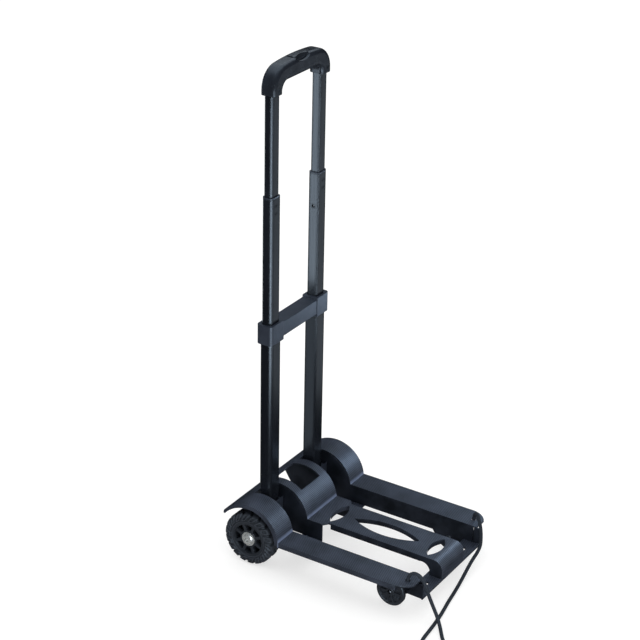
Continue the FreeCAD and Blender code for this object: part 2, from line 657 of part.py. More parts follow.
def coil_spring(radius, length, turns, wire):
    helix = Part.Wire(Part.makeHelix(length / turns, length, radius))
    ring = Part.Wire([Part.makeCircle(wire / 2, Vector(radius, 0, 0), Vector(0, 1, 0))])
    return helix.makePipeShell([ring], True, True)


def build_springs():
    """Springs behind the lock pins and under the button's bridge, at their pressed length."""
    for name, stage, height in (("upper", "top", "top_pin_height"), ("middle", "mid", "mid_pin_height")):
        springs = []
        for sign in SIDES.values():
            far_end = size(f"{stage}_width/2-4.4")
            spring = coil_spring(1.5, 2.8, 3, 0.7)
            spring.rotate(Vector(), Vector(0, 1, 0), -90 * sign)
            spring.translate(Vector(sign * (size("tube_across") + far_end), size("axle_y"), size(height)))
            springs.append(spring)
        add_shape(f"{name}_lock_springs", springs)
    springs = []
    floor = size("grip_floor+0.4")
    for offset in (-6.2, 6.2):
        spring = coil_spring(1.9, size("button_under-button_travel-0.5") - floor, 7, 0.6)
        spring.translate(Vector(0, size("axle_y") + offset, floor))
        springs.append(spring)
    add_shape("button_springs", springs)


# ---------------------------------------------------------------- grip

def grip_outline(inset="0"):
    """The grip's front view: two legs, two bends and a slightly crowned bar; or its cavity."""
    leg = "(tube_across+grip_leg_half_width)"
    bend_x = f"({leg}-grip_bend)"
    bend_z = f"(grip_top-0.0505*({bend_x}+0.101*grip_bend)-0.995*grip_bend)"
    radius = f"(grip_bend-({inset}))"
    crown_x, crown_z = f"({bend_x}+0.101*{radius})", f"{bend_z}+0.995*{radius}"
    via_x, via_z = f"({bend_x}+0.7071*{radius})", f"{bend_z}+0.7071*{radius}"
    foot_x, foot_z = leg, bend_z
    if inset != "0":
        foot_x, foot_z = f"({bend_x}+sqrt({radius}^2-(grip_floor-{bend_z})^2))", "grip_floor"
    top = [(f"-{foot_x}", foot_z), (f"-{via_x}", via_z, f"-{crown_x}", crown_z),
           ("0", f"grip_top-({inset})", crown_x, crown_z), (via_x, via_z, foot_x, foot_z)]
    if inset != "0":
        return top
    inner, near = "(tube_across-grip_leg_half_width)", "0.293*grip_turn"
    return top + [(leg, "grip_bottom"), (inner, "grip_bottom"), (inner, "grip_under-grip_turn"),
                  (f"{inner}-{near}", f"grip_under-{near}", f"{inner}-grip_turn", "grip_under"),
                  (f"-({inner}-grip_turn)", "grip_under"),
                  (f"-({inner}-{near})", f"grip_under-{near}", f"-{inner}", "grip_under-grip_turn"),
                  (f"-{inner}", "grip_bottom"), (f"-{leg}", "grip_bottom")]


def scoop(body):
    """The thumb scoop in the front shoulder of the bar, in front of the button."""
    dish = body.newObject("PartDesign::SubtractiveEllipsoid", "scoop")
    dish.Radius1, dish.Radius2, dish.Radius3 = 12, 24, 9
    dish.Placement = FreeCAD.Placement(Vector(0, size("-grip_half_depth"), size("grip_top+2.5")), Rotation())


def build_grip_shell(label, upper):
    shell = new_body(label)
    solid = slab(shell, "outside", "XZ_Plane", "-grip_half_depth", "grip_half_depth", [grip_outline()])
    doc.recompute()
    bottom, depth = size("grip_bottom"), size("grip_half_depth")
    edges = [f"Edge{number}" for number, edge in enumerate(solid.Shape.Edges, start=1)
             if abs(abs(edge.CenterOfMass.y) - depth) < 0.01 and edge.BoundBox.ZMin > bottom - 1
             and edge.BoundBox.ZMax > bottom + 1]
    rounding = shell.newObject("PartDesign::Fillet", "rounding")
    rounding.Base = (solid, edges)
    rounding.Radius = 8
    cut_slab(shell, "cavity", "XZ_Plane", "-(grip_half_depth-grip_wall)", "grip_half_depth-grip_wall",
             [grip_outline("grip_wall")])
    for side, sign in SIDES.items():
        socket = moved_across(tube_section(sign, "top_width", "top_depth"), f"{sign}*tube_across")
        cut_slab(shell, f"tube_socket_{side}", "XY_Plane", "grip_bottom-1", "top_end", [socket])
        cut_slab(shell, f"rod_hole_{side}", "XY_Plane", "top_end-1", "grip_floor+1",
                 [("circle", f"{sign}*tube_across", "0", "rod_radius+0.5")])
    seam = [("-66", "grip_seam_end"), ("-50", "grip_seam"), ("50", "grip_seam"), ("66", "grip_seam_end"),
            ("100", "grip_seam_end")]
    edge = "grip_bottom-5" if upper else "grip_top+5"
    cut_slab(shell, "seam", "XZ_Plane", "-(grip_half_depth+1)", "grip_half_depth+1",
             [[("-100", "grip_seam_end"), *seam, ("100", edge), ("-100", edge)]])
    if upper:
        half, deep = "button_half_length+0.3", "button_half_depth+0.3"
        cut_slab(shell, "button_opening", "XY_Plane", "grip_top-13.5", "grip_top+3",
                 [rectangle(f"-({half})", f"-({deep})", half, deep)])
        scoop(shell)
    else:
        for side, sign in SIDES.items():
            for face in ("front", "back"):
                start = ("-(grip_half_depth+1)", "-(grip_half_depth-1.6)")
                if face == "back":
                    start = ("grip_half_depth-1.6", "grip_half_depth+1")
                cut_slab(shell, f"screw_seat_{side}_{face}", "XZ_Plane", *start,
                         [("circle", f"{sign}*tube_across", "grip_bottom+10", "3")])
    move(shell, along="axle_y")


def build_grip():
    build_grip_shell("grip_upper_shell", True)
    build_grip_shell("grip_lower_shell", False)
    screws = new_body("grip_screws")
    for side, sign in SIDES.items():
        for face, ends in (("front", ("-(grip_half_depth-0.4)", "-(grip_half_depth-1.6)")),
                           ("back", ("grip_half_depth-1.6", "grip_half_depth-0.4"))):
            slab(screws, f"screw_{side}_{face}", "XZ_Plane", *sorted(ends, key=size),
                 [("circle", f"{sign}*tube_across", "grip_bottom+10", "2.9")])
    move(screws, along="axle_y")


def build_release():
    """The release button, the bridge under it and the rods that it pushes down to the locks."""
    button = new_body("release_button")
    long, foot, underside = "button_half_length", "bridge_under+3", "button_under"
    profile = [(long, "grip_top+0.9"), ("0", "grip_top+1.4", f"-{long}", "grip_top+0.9"),
               (f"-{long}", underside), ("-15", underside), ("-15", foot), ("-9", foot), ("-9", underside),
               ("9", underside), ("9", foot), ("15", foot), ("15", underside), (long, underside)]
    solid = slab(button, "block", "XZ_Plane", "-button_half_depth", "button_half_depth", [profile])
    doc.recompute()
    top = size("grip_top")
    edges = [f"Edge{number}" for number, edge in enumerate(solid.Shape.Edges, start=1)
             if edge.BoundBox.ZMin > top and edge.BoundBox.XLength > 10]
    rounding = button.newObject("PartDesign::Fillet", "rounding")
    rounding.Base = (solid, edges)
    rounding.Radius = 5
    for name, ends in (("front", ("-(button_half_depth+1)", "-5")), ("back", ("5", "button_half_depth+1"))):
        cut_slab(button, f"foot_side_{name}", "XZ_Plane", *ends, [rectangle("-22", foot, "22", underside)])
    scoop(button)
    bridge = new_body("button_bridge")
    end = "tube_across+1.6"
    slab(bridge, "bridge", "XY_Plane", "bridge_under", "bridge_under+3",
         [[(f"-({end})", "-3"), (end, "-3"), (end, "3"), (f"-({end})", "3")]])
    for part in (button, bridge):
        move(part, along="axle_y")
    for side, sign in SIDES.items():
        rod = new_body(f"push_rod_{side}")
        slab(rod, "rod", "XY_Plane", "top_pin_height+9", "bridge_under", [("circle", "0", "0", "rod_radius")])
        tube_place(rod, sign)


# ---------------------------------------------------------------- elastic cord

# The two visible stretches of the cord, from the holes in the platform's tips to the coil.
CORD_ROUTES = {
    "left": [(-121, -174.6, 68.2), (-121, -175.2, 77), (-120.7, -180, 86.5), (-119.9, -189, 90.2),
             (-118.8, -198, 86.5), (-117.5, -204.5, 77.5), (-116, -209, 66), (-114.8, -213.5, 52.5),
             (-114, -219.5, 38.5), (-114.5, -227, 25), (-119, -236.5, 13.5), (-128.5, -246.5, 6.2),
             (-142, -256.5, 3.7), (-157, -268, 3.45), (-168, -281.5, 3.45), (-176, -295, 3.45)],
    "right": [(121, -174.6, 68.2), (121, -175, 76.5), (119, -177.8, 85.5), (113, -184, 89.5),
              (105.6, -192, 86.5), (100, -199, 77.5), (96.8, -203, 65), (95.5, -204.4, 51.5),
              (94.4, -204.6, 38.5), (84.5, -204.3, 29.6), (69, -204, 24), (52.5, -204.8, 18.2),
              (36, -206.3, 12.3),
              (17, -208.6, 7.2), (-5, -212, 4.2), (-28, -215.8, 3.5), (-53, -220, 3.45), (-80, -225.8, 3.45),
              (-109, -230.8, 3.45), (-142, -234.6, 3.45), (-176, -238, 3.45), (-206, -244.5, 3.45)],
}


def cord_path(points):
    """Straight runs joined by tangent arcs, each as large as its two runs allow."""
    corners = [Vector(*point) for point in points]
    edges, start, radii = [], corners[0], []
    for before, corner, after in zip(corners, corners[1:], corners[2:]):
        incoming, outgoing = corner - before, after - corner
        half_turn = incoming.getAngle(outgoing) / 2
        reach = 0.45 * min(incoming.Length, outgoing.Length)
        radii.append(reach / math.tan(half_turn))
        arc_start = corner - incoming.normalize() * reach
        arc_end = corner + outgoing.normalize() * reach
        inward = (arc_start + arc_end) * 0.5 - corner
        sagitta_point = corner + inward.normalize() * (radii[-1] / math.cos(half_turn) - radii[-1])
        edges.append(Part.LineSegment(start, arc_start).toShape())
        edges.append(Part.Arc(arc_start, sagitta_point, arc_end).toShape())
        start = arc_end
    edges.append(Part.LineSegment(start, corners[-1]).toShape())
    return Part.Wire(edges), radii


def build_cord():
    radius = size("cord_diameter/2")
    for side, points in CORD_ROUTES.items():
        path, radii = cord_path(points)
        start, following = Vector(*points[0]), Vector(*points[1])
        ring = Part.Wire([Part.makeCircle(radius, start, following - start)])
        tube = path.makePipeShell([ring], True, False)
        expected = math.pi * radius ** 2 * path.Length
        print(f"cord {side}: length {path.Length:.1f}, radii {[round(value, 1) for value in radii]}, "
              f"volume {tube.Volume:.0f} of {expected:.0f}, lowest {tube.BoundBox.ZMin:.2f}")
        add_shape(f"elastic_cord_{side}", [tube])
    coil = new_body("elastic_cord_coil")
    slab(coil, "coil", "XY_Plane", "0.2", "coil_height+0.2",
         [("circle", "0", "0", "coil_outer"), ("circle", "0", "0", "coil_inner")])
    move(coil, "coil_across", "coil_along")
    knots = new_body("cord_knots")
    top = "deck_top-deck_wall-0.2"
    for side, sign in SIDES.items():
        slab(knots, f"knot_{side}", "XY_Plane", f"{top}-11", top,
             [("circle", f"{sign}*cord_hole_across", "cord_hole_along", "6.6")])


def finish():
    doc.recompute()
    for thing in doc.Objects:
        if "Invalid" in thing.State or "Error" in thing.State:
            raise RuntimeError(f"{thing.Label}: {thing.State}")
    for part in parts:
        if part.Shape.isNull() or not part.Shape.isValid():
            raise RuntimeError(f"{part.Label} has no valid shape")
        print(part.Label, len(part.Shape.Solids), round(part.Shape.Volume))
    os.makedirs("parts", exist_ok=True)
    for part in parts:
        part.Shape.exportStep(f"parts/{part.Label}.step")


build_platform()
build_axle()
build_casters()
for side, sign in SIDES.items():
    build_wheel(side, sign)
    build_foot(side, sign)
    build_tube("low", side, sign, slot_heights=["mid_pin_height"])
    build_tube("mid", side, sign, ["mid_pin_height"], ["top_pin_height"])
    build_tube("top", side, sign, ["top_pin_height"])
    build_collars_and_plugs(side, sign)
build_crossbar()
build_grip()
build_release()
build_springs()
build_cord()
finish()
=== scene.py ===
import json
import math
import bmesh
import bpy
from mathutils import Matrix, Vector


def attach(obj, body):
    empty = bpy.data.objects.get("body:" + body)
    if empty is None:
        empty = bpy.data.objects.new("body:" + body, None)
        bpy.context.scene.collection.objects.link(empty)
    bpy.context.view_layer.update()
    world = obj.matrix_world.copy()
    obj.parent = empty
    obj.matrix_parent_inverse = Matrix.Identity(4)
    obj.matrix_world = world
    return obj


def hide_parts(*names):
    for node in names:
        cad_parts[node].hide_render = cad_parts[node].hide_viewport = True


# Folding luggage cart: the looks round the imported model. Metres, +Z up, the platform's front towards -Y.

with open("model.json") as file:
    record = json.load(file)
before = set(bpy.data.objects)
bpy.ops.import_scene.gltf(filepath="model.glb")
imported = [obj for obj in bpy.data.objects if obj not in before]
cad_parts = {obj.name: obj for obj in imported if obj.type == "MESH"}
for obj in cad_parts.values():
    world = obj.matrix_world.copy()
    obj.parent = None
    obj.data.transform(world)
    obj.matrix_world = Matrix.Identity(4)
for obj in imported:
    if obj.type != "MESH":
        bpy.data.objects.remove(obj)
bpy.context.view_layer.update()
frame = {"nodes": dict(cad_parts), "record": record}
SIDES = {"left": -1, "right": 1}
MM = 0.001

# ---------------------------------------------------------------- camera

CAMERA_TURN = math.radians(-58.05)
CAMERA_RISE = math.radians(25.73)
CAMERA_ROLL = math.radians(1.15)
CAMERA_DISTANCE = 3.33
CAMERA_TARGET = Vector((0.0009, 0.0914, 0.4516))
CAMERA_LENS_MM = 106.14


def make_camera():
    """The camera on its line of sight to the target, rolled about that line."""
    data = bpy.data.cameras.new("camera")
    data.lens = CAMERA_LENS_MM
    data.clip_start = 0.05
    camera = bpy.data.objects.new("camera", data)
    bpy.context.scene.collection.objects.link(camera)
    level = math.cos(CAMERA_RISE)
    back = Vector((math.sin(CAMERA_TURN) * level, -math.cos(CAMERA_TURN) * level, math.sin(CAMERA_RISE)))
    right = Vector((math.cos(CAMERA_TURN), math.sin(CAMERA_TURN), 0))
    up = back.cross(right)
    across = math.cos(CAMERA_ROLL) * right + math.sin(CAMERA_ROLL) * up
    upward = math.cos(CAMERA_ROLL) * up - math.sin(CAMERA_ROLL) * right
    turn = Matrix((across, upward, back)).transposed().to_4x4()
    camera.matrix_world = Matrix.Translation(CAMERA_TARGET + back * CAMERA_DISTANCE) @ turn
    bpy.context.scene.camera = camera


make_camera()

# ---------------------------------------------------------------- elastic cord

# The routes and the coil are in millimetres: from each front tip to the floor and on to the coil.
CORD_DIAMETER = 6.5 * MM
LEFT_ROUTE = [
    (-121, -174.6, 68.2), (-121, -175.2, 77), (-120.7, -180, 86.5), (-119.9, -189, 90.2),
    (-118.8, -198, 86.5), (-117.5, -204.5, 77.5), (-116, -209, 66), (-114.8, -213.5, 52.5),
    (-114, -219.5, 38.5), (-114.5, -227, 25), (-119, -236.5, 13.5), (-128.5, -246.5, 6.2),
    (-142, -256.5, 3.7), (-157, -268, 3.45), (-168, -281.5, 3.45)]
RIGHT_ROUTE = [
    (121, -174.6, 68.2), (121, -175, 76.5), (119, -177.8, 85.5), (113, -184, 89.5),
    (105.6, -192, 86.5), (100, -199, 77.5), (96.8, -203, 65), (95.5, -204.4, 51.5), (94.4, -204.6, 38.5),
    (84.5, -204.3, 29.6), (69, -204, 24), (52.5, -204.8, 18.2), (36, -206.3, 12.3),
    (17, -208.6, 7.2), (-5, -212, 4.2), (-28, -215.8, 3.5), (-53, -220, 3.45), (-80, -225.8, 3.45),
    (-109, -230.8, 3.45), (-142, -234.6, 3.45), (-176, -238, 4.2)]
COIL_CENTRE = (-219, -287)
COIL_LANES = [  # degrees turned, radius, height
    (0, 38.4, 3.6), (300, 38.4, 3.6), (400, 32.1, 3.6),
    (660, 32.1, 3.6), (760, 35.5, 10.0), (1000, 38.2, 10.0)]
COIL_START = -25
COIL_SWEEP = 980
COIL_STEP = 20


def coil_points():
    """The coil's turns, clockwise from where the left stretch comes in to where the right one leaves."""
    points = []
    for turned in range(0, COIL_SWEEP + 1, COIL_STEP):
        before, after = next(pair for pair in zip(COIL_LANES, COIL_LANES[1:]) if turned <= pair[1][0])
        share = (turned - before[0]) / (after[0] - before[0])
        radius = before[1] + share * (after[1] - before[1])
        height = before[2] + share * (after[2] - before[2])
        angle = math.radians(COIL_START - turned)
        across = COIL_CENTRE[0] + radius * math.cos(angle)
        forward = COIL_CENTRE[1] + radius * math.sin(angle)
        points.append((across, forward, height))
    return points


def make_cord():
    """One curve from the left tip, round the coil, to the right tip; each point's radius is the cord's."""
    data = bpy.data.curves.new("elastic_cord", "CURVE")
    data.dimensions = "3D"
    spline = data.splines.new("NURBS")
    points = LEFT_ROUTE + coil_points() + RIGHT_ROUTE[::-1]
    spline.points.add(len(points) - 1)
    for point, place in zip(spline.points, points):
        point.co = (*(value * MM for value in place), 1)
        point.radius = CORD_DIAMETER / 2
    spline.order_u = 3
    spline.use_endpoint_u = True
    data.resolution_u = 6
    data.bevel_depth = 1.0
    data.bevel_resolution = 4
    data.use_fill_caps = True
    cord = bpy.data.objects.new("elastic_cord", data)
    bpy.context.scene.collection.objects.link(cord)
    return cord


cord = make_cord()
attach(cord, "platform")
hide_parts("elastic_cord_left", "elastic_cord_right", "elastic_cord_coil")

# ---------------------------------------------------------------- tyres

# The tyre is in millimetres, but a lug's half width and its lean count in lugs round the tread.
AXLE = Vector((0, 147.2, 51.4)) * MM
TYRE_CENTRE = 125.7
CROWN_RADIUS = 48.0
CROWN_HALF_WIDTH = 10.2
CROWN_STEPS = 13
SHOULDER_RADIUS = 6.0
SHOULDER_STEPS = 12
BEAD_RADIUS = 33.7
WALL_STEPS = 22
RING = (34.4, 36.6)
RING_EDGE = 0.7
RING_HEIGHT = 0.9
LUGS = 18
STEPS_PER_LUG = 24
LUG_END = 25.0
LUG_HEIGHT = 3.3
LUG_WALL_DROP = 0.9
LUG_FLANK = (-0.03, 0.05)
LUG_HALF_WIDTH = 0.36
LUG_NARROWING = 0.06
NARROWING_START = 18.0
HOOK_REACH = 11.0
HOOK_LEAN = 0.30
HOOK_RETURN = 0.60
HOOK_CURVE = 1.4
POCKET_HALF_WIDTH = 0.16
POCKET_START = (13.5, 15.5)
POCKET_TO_END = 3.0
POCKET_DEPTH = 0.9


def smooth_step(value, start, end):
    """0 up to start, 1 from end on, and an S curve between them."""
    share = min(max((value - start) / (end - start), 0.0), 1.0)
    return share * share * (3 - 2 * share)


def tyre_section():
    """Half the carcass section, from the crown to the bead: (across, radius, normal, reach along it)."""
    points = []
    for step in range(CROWN_STEPS):
        across = CROWN_HALF_WIDTH * step / CROWN_STEPS
        points.append((across, CROWN_RADIUS, (0, 1), across))
    for step in range(SHOULDER_STEPS + 1):
        turn = math.radians(90 * step / SHOULDER_STEPS)
        points.append((CROWN_HALF_WIDTH + SHOULDER_RADIUS * math.sin(turn),
                       CROWN_RADIUS - SHOULDER_RADIUS + SHOULDER_RADIUS * math.cos(turn),
                       (math.sin(turn), math.cos(turn)),
                       CROWN_HALF_WIDTH + SHOULDER_RADIUS * turn))
    across, top, _, reach = points[-1]
    for step in range(1, WALL_STEPS + 1):
        drop = (top - BEAD_RADIUS) * step / WALL_STEPS
        points.append((across, top - drop, (1, 0), reach + drop))
    return points


def lug_height(reach, turn):
    """Height of the tread above the carcass: hooked lugs down the sidewall, with a pocket in each.

    reach is the distance along the section from the crown's middle, and turn counts in lugs.
    """
    if reach < HOOK_REACH:
        bend = HOOK_LEAN * reach / HOOK_REACH
    else:
        bend = HOOK_LEAN - HOOK_RETURN * ((reach - HOOK_REACH) / (LUG_END - HOOK_REACH)) ** HOOK_CURVE
    off_centre = abs((turn - bend) % 1 - 0.5)
    half_width = LUG_HALF_WIDTH - LUG_NARROWING * smooth_step(reach, NARROWING_START, LUG_END)
    body = smooth_step(half_width - off_centre, *LUG_FLANK)
    body *= smooth_step(reach, 0.8, 2.0) * smooth_step(LUG_END - reach, 0.0, 2.2)
    pocket = smooth_step(POCKET_HALF_WIDTH - off_centre, *LUG_FLANK) * smooth_step(reach, *POCKET_START)
    pocket *= smooth_step(LUG_END - POCKET_TO_END - reach, 0.0, 1.5)
    top = LUG_HEIGHT - LUG_WALL_DROP * smooth_step(reach, 10, 18)
    return body * (1 - POCKET_DEPTH * pocket) * top


def make_tyre(side, sign):
    """The carcass turned about the axle, with its lugs raised on it and a ring round the rim."""
    section = tyre_section()
    halves = [(1, point) for point in section[::-1]] + [(-1, point) for point in section[1:]]
    count = LUGS * STEPS_PER_LUG
    vertices = []
    for half, (across, radius, normal, reach) in halves:
        ring = smooth_step(radius, RING[0], RING[0] + RING_EDGE)
        ring *= smooth_step(RING[1] - radius, 0.0, RING_EDGE)
        for step in range(count):
            turn = step / STEPS_PER_LUG + (0.5 if half < 0 else 0.0)
            height = lug_height(reach, turn) + RING_HEIGHT * ring
            x = sign * half * (across + normal[0] * height) + sign * TYRE_CENTRE
            r = radius + normal[1] * height
            angle = 2 * math.pi * step / count
            place = Vector((x * MM, -r * math.sin(angle) * MM, r * math.cos(angle) * MM))
            vertices.append(place + AXLE)
    faces = []
    for row in range(len(halves)):
        following = (row + 1) % len(halves)
        for step in range(count):
            beside = (step + 1) % count
            faces.append((row * count + step, row * count + beside,
                          following * count + beside, following * count + step))
    return mesh_piece(f"tyre_{side}", vertices, faces)


def mesh_piece(name, vertices, faces):
    """A smooth mesh object with all its faces turned outwards."""
    mesh = bpy.data.meshes.new(name)
    mesh.from_pydata(vertices, [], faces)
    shaped = bmesh.new()
    shaped.from_mesh(mesh)
    bmesh.ops.recalc_face_normals(shaped, faces=shaped.faces)
    shaped.to_mesh(mesh)
    shaped.free()
    mesh.shade_smooth()
    piece = bpy.data.objects.new(name, mesh)
    bpy.context.scene.collection.objects.link(piece)
    return piece


def tube_round(path, radius, sides):
    """The vertices and faces of a closed tube that follows a closed path of points."""
    before = path[-1:] + path[:-1]
    after = path[1:] + path[:1]
    tangents = [(ahead - behind).normalized() for behind, ahead in zip(before, after)]
    across = tangents[0].orthogonal().normalized()
    vertices, faces = [], []
    for point, tangent in zip(path, tangents):
        across = (across - tangent * across.dot(tangent)).normalized()
        upward = tangent.cross(across)
        for side in range(sides):
            angle = 2 * math.pi * side / sides
            vertices.append(point + radius * (math.cos(angle) * across + math.sin(angle) * upward))
    first = vertices[0] - path[0]
    last = (first - tangents[-1] * first.dot(tangents[-1])).normalized()
    twist = round(math.atan2(last.dot(upward), last.dot(across)) / (2 * math.pi / sides))
    for ring in range(len(path)):
        following = (ring + 1) % len(path)
        shift = -twist if following == 0 else 0
        for side in range(sides):
            beside = (side + 1) % sides
            faces.append((ring * sides + side, ring * sides + beside,
                          following * sides + (beside + shift) % sides,
                          following * sides + (side + shift) % sides))
    return vertices, faces


KNOT_PLACE = Vector((121.0, -174.6, 62.6)) * MM
KNOT_SPREAD = 1.42 * MM
KNOT_TUBE = 2.3 * MM
KNOT_STEPS = 60
KNOT_SIDES = 12


def make_knots():
    """The overhand knots that hold the cord's ends under the platform's tips."""
    vertices, faces = [], []
    for sign in SIDES.values():
        middle = Vector((sign * KNOT_PLACE.x, KNOT_PLACE.y, KNOT_PLACE.z))
        path = []
        for step in range(KNOT_STEPS):
            angle = 2 * math.pi * step / KNOT_STEPS
            around = Vector((math.sin(angle) + 2 * math.sin(2 * angle),
                             math.cos(angle) - 2 * math.cos(2 * angle),
                             -2.0 * math.sin(3 * angle)))
            path.append(around * KNOT_SPREAD + middle)
        tube_vertices, tube_faces = tube_round(path, KNOT_TUBE, KNOT_SIDES)
        faces += [tuple(index + len(vertices) for index in face) for face in tube_faces]
        vertices += tube_vertices
    return mesh_piece("knots", vertices, faces)


tyres = [make_tyre(side, sign) for side, sign in SIDES.items()]
for side, tyre in zip(SIDES, tyres):
    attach(tyre, f"rear_wheel_{side}")
    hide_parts(f"rear_tyre_{side}")
knots = make_knots()
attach(knots, "platform")
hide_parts("cord_knots")

# ---------------------------------------------------------------- floor and light

FLOOR_SIZE = 16.0
FLOOR_GLOW = 0.62
SURROUND = (0.88, 0.94, 1.0, 1)
SURROUND_STRENGTH = 1.1
COOL = (0.82, 0.91, 1.0)
COLD = (0.62, 0.78, 1.0)
LIGHTS = [  # name, place, target, size, radiance, colour
    ("overhead", (-0.3, -0.2, 2.6), (0, 0, 0.2), (2.2, 2.2), 0.6, COOL),
    ("ceiling", (0.6, 0.5, 2.2), (0, 0, 0.3), (2.4, 2.4), 1.6, COOL),
    ("camera_side", (-0.40, -0.33, 0.37), (-0.07, 0.147, 0.37), (0.30, 0.68), 11.0, COOL),
    ("front_side", (0.02, -0.48, 0.37), (-0.07, 0.147, 0.37), (0.40, 0.68), 1.8, COOL),
    ("inner_strip", (-0.062, 0.222, 0.66), (0.062, 0.145, 0.66), (0.05, 0.48), 4.6, COOL),
    ("inner_low", (-0.062, 0.222, 0.23), (0.062, 0.145, 0.23), (0.05, 0.34), 0.9, COOL),
    ("moulded_front", (0.50, -0.20, 0.34), (0, 0.08, 0.1), (0.26, 0.26), 9.5, COLD),
    ("right_side", (1.1, -0.55, 0.1), (0, 0.147, 0.5), (0.5, 0.9), 0.6, COOL),
]


def make_floor(material):
    mesh = bpy.data.meshes.new("floor")
    half = FLOOR_SIZE / 2
    corners = [(-half, -half, 0), (half, -half, 0), (half, half, 0), (-half, half, 0)]
    mesh.from_pydata(corners, [], [(0, 1, 2, 3)])
    floor = bpy.data.objects.new("floor", mesh)
    bpy.context.scene.collection.objects.link(floor)
    mesh.materials.append(material)
    floor.visible_glossy = False


def area_light(name, place, target, size, radiance, colour):
    """A soft panel that the camera doesn't see and that only makes sheen on glossy surfaces."""
    data = bpy.data.lights.new(name, "AREA")
    data.shape = "RECTANGLE"
    data.size, data.size_y = size
    data.energy = radiance * math.pi * size[0] * size[1]
    data.color = colour
    light = bpy.data.objects.new(name, data)
    bpy.context.scene.collection.objects.link(light)
    light.location = place
    light.rotation_mode = "QUATERNION"
    light.rotation_quaternion = (Vector(target) - Vector(place)).to_track_quat("-Z", "Y")
    light.visible_camera = False
    light.visible_diffuse = False
    return light


def moulded_pieces():
    """The platform's and the crossbar's mouldings, as a collection that a light can be kept to."""
    pieces = bpy.data.collections.new("moulded_pieces")
    for part in frame["record"]["subparts"]:
        if part["material_slot"] in ("deck_plastic", "block_plastic"):
            pieces.objects.link(frame["nodes"][part["node"]])
    return pieces


def light_the_room():
    """A pale even surround, a soft overhead light, and the panels that make the sheen."""
    world = bpy.data.worlds.new("room")
    bpy.context.scene.world = world
    world.use_nodes = True
    background = world.node_tree.nodes["Background"]
    background.inputs["Color"].default_value = SURROUND
    background.inputs["Strength"].default_value = SURROUND_STRENGTH
    world.cycles_visibility.glossy = False
    panels = {row[0]: area_light(*row) for row in LIGHTS}
    panels["overhead"].visible_diffuse = True
    panels["moulded_front"].light_linking.receiver_collection = moulded_pieces()
    bpy.context.scene.view_settings.view_transform = "Standard"


# ---------------------------------------------------------------- materials

SHEEN = (0.80, 0.90, 1.0, 1)
EDGE = 0.9 * MM


class Surface:
    """A procedural material: a Principled shader with a coordinate in metres to hang patterns on."""

    def __init__(self, name, roughness, metallic=0.0, specular=0.5):
        self.material = bpy.data.materials.new(name)
        self.material.use_nodes = True
        self.tree = self.material.node_tree
        self.shader = self.tree.nodes["Principled BSDF"]
        self.shader.inputs["Roughness"].default_value = roughness
        self.shader.inputs["Metallic"].default_value = metallic
        self.shader.inputs["Specular IOR Level"].default_value = specular
        self.shader.inputs["Specular Tint"].default_value = SHEEN
        self.place = self.tree.nodes.new("ShaderNodeTexCoord").outputs["Object"]

    def node(self, kind, settings=None, **links):
        """A node, its settings and what feeds its inputs: a number, a colour or another node's output."""
        made = self.tree.nodes.new("ShaderNode" + kind)
        for name, value in (settings or {}).items():
            setattr(made, name, value)
        for name, value in links.items():
            key = int(name[1:]) if name[0] == "i" and name[1:].isdigit() else name.replace("_", " ")
            socket = made.inputs[key]
            if isinstance(value, bpy.types.NodeSocket):
                self.tree.links.new(value, socket)
            else:
                socket.default_value = value
        return made

    def maths(self, operation, first, second=0.0, third=0.0):
        return self.node("Math", {"operation": operation}, i0=first, i1=second, i2=third).outputs[0]

    def noise(self, scale, detail=3.0, stretch=None):
        """Noise with scale waves to the metre, drawn out along an axis where stretch is small."""
        place = self.place
        if stretch:
            place = self.node("Mapping", Vector=place, Scale=stretch).outputs[0]
        return self.node("TexNoise", Vector=place, Scale=scale, Detail=detail).outputs["Fac"]

    def between(self, value, low, high, start=0.35, end=0.65):
        """The value's stretch from start to end, spread over low to high."""
        return self.node("MapRange", i0=value, i1=start, i2=end, i3=low, i4=high).outputs[0]

    def blend(self, share, first, second):
        """The first colour at a share of 0, and the second at 1; each a colour or another node's output."""
        made = self.node("Mix", {"data_type": "RGBA"}, i0=share)
        for socket, value in ((made.inputs[6], first), (made.inputs[7], second)):
            if isinstance(value, bpy.types.NodeSocket):
                self.tree.links.new(value, socket)
            else:
                socket.default_value = (*value, 1)
        return made.outputs[2]

    def bump(self, height, strength, distance, edge=None):
        """A bump, over edges rounded off by a radius."""
        made = self.node("Bump", Height=height, Strength=strength, Distance=distance)
        if edge:
            rounded = self.node("Bevel", {"samples": 4}, Radius=edge).outputs[0]
            self.tree.links.new(rounded, made.inputs["Normal"])
        return made.outputs[0]

    def feed(self, name, output):
        self.tree.links.new(output, self.shader.inputs[name])


def floor_surface():
    surface = Surface("floor_paper", roughness=0.9, specular=0.0)
    shade = surface.between(surface.noise(3.0), 0.0, 1.0)
    surface.feed("Base Color", surface.blend(shade, (0.47, 0.44, 0.41), (0.49, 0.46, 0.43)))
    surface.shader.inputs["Emission Color"].default_value = (1.0, 1.0, 1.0, 1)
    surface.shader.inputs["Emission Strength"].default_value = FLOOR_GLOW
    return surface.material


def moulded(name, dark, light, roughness, specular=0.35, grain=1800.0, depth=0.06 * MM):
    """Moulded plastic: fine grain, slight mottling, and a roughness that varies a little at random."""
    surface = Surface(name, roughness=roughness, specular=specular)
    shade = surface.between(surface.noise(22.0, 4.0), 0.0, 1.0)
    surface.feed("Base Color", surface.blend(shade, dark, light))
    surface.feed("Roughness", surface.between(surface.noise(60.0, 5.0), roughness - 0.06, roughness + 0.06))
    surface.feed("Normal", surface.bump(surface.noise(grain, 2.0), 0.4, depth, EDGE))
    return surface.material


